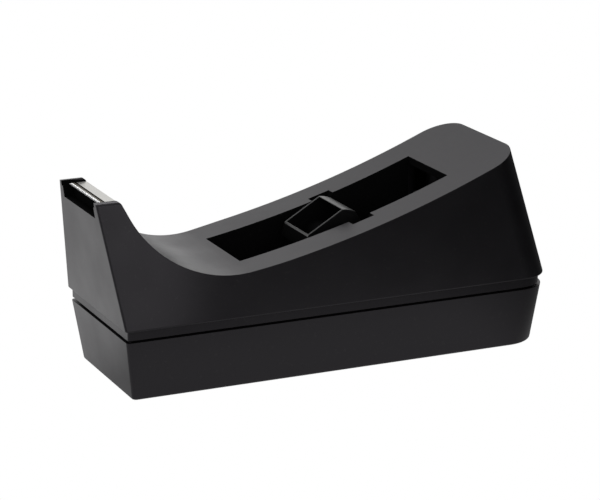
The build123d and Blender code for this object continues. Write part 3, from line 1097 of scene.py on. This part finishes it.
# %% Painted shade on the hub
# Painted shade: the pockets and the low front arc get the black without reflection.
hub.data.materials.append(painted_shade_black)
flank_clear, arc_clear = 0.2, 0.4
corner_start, corner_drop = 0.9, 0.35
flat_x, flat_z = cos(hub_pitch), sin(hub_pitch)
for face in hub.data.polygons:
    x, y, z = face.center / MM
    along = (x - axle_x) * flat_x + (z - axle_z) * flat_z
    out = (z - axle_z) * flat_x - (x - axle_x) * flat_z
    in_width = abs(y) < hub_half - flank_clear
    in_pocket = max(abs(along), abs(out)) < hub_flat - flank_clear
    in_pocket = in_pocket and sqrt(along**2 + out**2) < hub_radius - arc_clear
    low_corner = along < -mouth - corner_start and out < hub_flat - corner_drop
    face.material_index = PAINTED_SHADE if in_width and (in_pocket or low_corner) else SHINY
print("painted shade faces of the hub:", sum(f.material_index == PAINTED_SHADE for f in hub.data.polygons))

# %% Materials of the CAD pieces
for name, material in (
    ("ballast_block", cement),
    ("nonslip_pad", rubber),
    ("housing_screws", drawn_steel),
    ("hub_axle", drawn_steel),
):
    for material_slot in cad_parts[name].material_slots:
        material_slot.material = material
    print(name, "is", material.name)

# %% [markdown]
# ## The studio
#
# The photograph is a white product picture. The object stands on a white floor with white all
# round, and no shadow is left under it. What the black faces show is which part of that white
# they reflect: the floor behind is bright, and the floor in front and to the right, away from the
# lamps, falls off with distance. So the floor is plain white to the camera, and to reflections it
# glows with painted light, brightest at the back and on the left, with a painted shadow under and
# just in front of the object.


# %% Brightness along an axis
def level_along(tree, source, stops):
    """Grey level that follows a value of the scene: stops are (value, level), in rising order."""
    low, high = stops[0][0], stops[-1][0]
    spread = node(tree, "ShaderNodeMapRange")
    spread.inputs["From Min"].default_value = low
    spread.inputs["From Max"].default_value = high
    tree.links.new(source, spread.inputs["Value"])
    ramp = tree.nodes.new("ShaderNodeValToRGB")
    elements = ramp.color_ramp.elements
    for index, (value, level) in enumerate(stops):
        position = (value - low) / (high - low)
        stop = elements[index] if index < 2 else elements.new(position)
        stop.position = position
        stop.color = (level, level, level, 1)
    tree.links.new(spread.outputs["Result"], ramp.inputs["Fac"])
    return ramp.outputs["Color"]


# %% Floor
# Painted light: the glow that reflections see, set by place. The dip near the object is a painted
# shadow.
FLOOR_ALONG_Y = (
    (-0.5, 0.08), (-0.25, 0.13), (-0.14, 0.18), (-0.1, 0.26), (-0.045, 0.47),
    (-0.003, 0.41), (0.025, 0.68), (0.06, 0.88), (0.15, 0.78), (0.3, 0.78), (0.6, 1.3),
)
FLOOR_ALONG_X = ((0.06, 1.0), (0.08, 0.61), (0.1, 0.42), (0.15, 0.22), (0.2, 0.07), (0.4, 0.03))


def make_floor(half_side=3000):
    mesh_data = bmesh.new()
    bmesh.ops.create_grid(mesh_data, x_segments=8, y_segments=8, size=half_side)
    floor = to_object("studio_floor", mesh_data)
    material = bpy.data.materials.new("studio_white")
    material.use_nodes = True
    tree = material.node_tree
    tree.nodes.remove(tree.nodes["Principled BSDF"])
    split = tree.nodes.new("ShaderNodeSeparateXYZ")
    place = tree.nodes.new("ShaderNodeNewGeometry").outputs["Position"]
    tree.links.new(place, split.inputs["Vector"])
    from_front = level_along(tree, split.outputs["Y"], FLOOR_ALONG_Y)
    from_left = level_along(tree, split.outputs["X"], FLOOR_ALONG_X)
    seen = tree.nodes.new("ShaderNodeEmission")
    reflected = tree.nodes.new("ShaderNodeEmission")
    tree.links.new(math(tree, "MULTIPLY", from_front, from_left), reflected.inputs["Strength"])
    path = tree.nodes.new("ShaderNodeLightPath")
    mix = tree.nodes.new("ShaderNodeMixShader")
    tree.links.new(path.outputs["Is Camera Ray"], mix.inputs["Fac"])
    tree.links.new(reflected.outputs["Emission"], mix.inputs[1])
    tree.links.new(seen.outputs["Emission"], mix.inputs[2])
    tree.links.new(mix.outputs["Shader"], tree.nodes["Material Output"].inputs["Surface"])
    floor.data.materials.append(material)
    print("floor of", len(floor.data.polygons), "faces")


make_floor()

# %% [markdown]
# The walls and the ceiling are the world. Behind the object it is white up to a third of the way
# to overhead, and then dimmer. On the camera's side it is brighter above but dark along its
# foot, and on the right it is dark. To the camera it is plain white.


# %% World
SKY_UP = (
    (0.0, 1.3), (0.06, 1.1), (0.13, 0.88), (0.22, 1.0), (0.3, 0.93), (0.42, 0.71),
    (0.5, 0.48), (0.75, 0.3), (1.0, 0.3),
)
SKY_BACK = ((-0.9, 1.55), (0.3, 1.0))
SKY_FOOT = ((0.0, 0.03), (0.1, 0.15), (0.2, 0.9), (0.25, 1.0))
SKY_FOOT_GONE = ((-0.2, 0.0), (0.2, 1.0))
SKY_RIGHT = ((0.46, 1.0), (0.62, 0.4), (0.75, 0.2), (1.0, 0.1))


def make_world():
    world = bpy.data.worlds.new("studio_walls")
    world.use_nodes = True
    tree = world.node_tree
    back = tree.nodes["Background"]
    back.inputs["Color"].default_value = (1, 1, 1, 1)
    way = node(tree, "ShaderNodeTexCoord").outputs["Generated"]
    split = tree.nodes.new("ShaderNodeSeparateXYZ")
    tree.links.new(way, split.inputs["Vector"])
    height = level_along(tree, split.outputs["Z"], SKY_UP)
    depth = level_along(tree, split.outputs["Y"], SKY_BACK)
    foot = level_along(tree, split.outputs["Z"], SKY_FOOT)
    behind = level_along(tree, split.outputs["Y"], SKY_FOOT_GONE)
    height = math(tree, "MULTIPLY", height, math(tree, "MAXIMUM", foot, behind))
    side = level_along(tree, split.outputs["X"], SKY_RIGHT)
    level = math(tree, "MULTIPLY", math(tree, "MULTIPLY", height, depth), side)
    seen = tree.nodes.new("ShaderNodeLightPath").outputs["Is Camera Ray"]
    tree.links.new(math(tree, "MAXIMUM", level, seen), back.inputs["Strength"])
    bpy.context.scene.world = world
    print("world:", world.name)


make_world()

# %% [markdown]
# One large soft lamp above gives the edges their thin lines of light.


# %% Lamp
def area_lamp(name, place, target, size, power):
    lamp = bpy.data.lights.new(name, "AREA")
    lamp.size = size
    lamp.energy = power
    obj = bpy.data.objects.new(name, lamp)
    obj.location = place
    obj.rotation_euler = (Vector(target) - Vector(place)).to_track_quat("-Z", "Y").to_euler()
    bpy.context.scene.collection.objects.link(obj)


area_lamp("overhead_softbox", place=(0.1, 0.35, 0.9), target=(0, 0, 0.03), size=0.5, power=4.0)
print("lamps:", [lamp.name for lamp in bpy.data.lights])

# %% [markdown]
# ## The camera
#
# The camera's place, turn and lens were worked out from the edges of the object in the
# photograph, by least squares, as the one viewpoint from which all of them line up.

# %% Camera
scene = bpy.context.scene
camera = bpy.data.objects.new("camera", bpy.data.cameras.new("camera"))
camera.data.sensor_width = 36.0
camera.data.lens = 149.82
camera.data.clip_start = 0.05
camera.data.clip_end = 50.0
right = Vector((0.911282, -0.411783, -0.00004))
up = Vector((0.114274, 0.252794, 0.960748))
forward = Vector((0.395609, 0.875517, -0.277422))
turn = Matrix((right, up, -forward)).transposed().to_4x4()
stand = Vector((-0.324287, -0.712830, 0.261269))
camera.matrix_world = Matrix.Translation(stand) @ turn
scene.collection.objects.link(camera)
scene.camera = camera
scene.view_settings.view_transform = "Standard"
print("camera lens, mm:", round(camera.data.lens, 1), "metres away:", round(stand.length, 2))
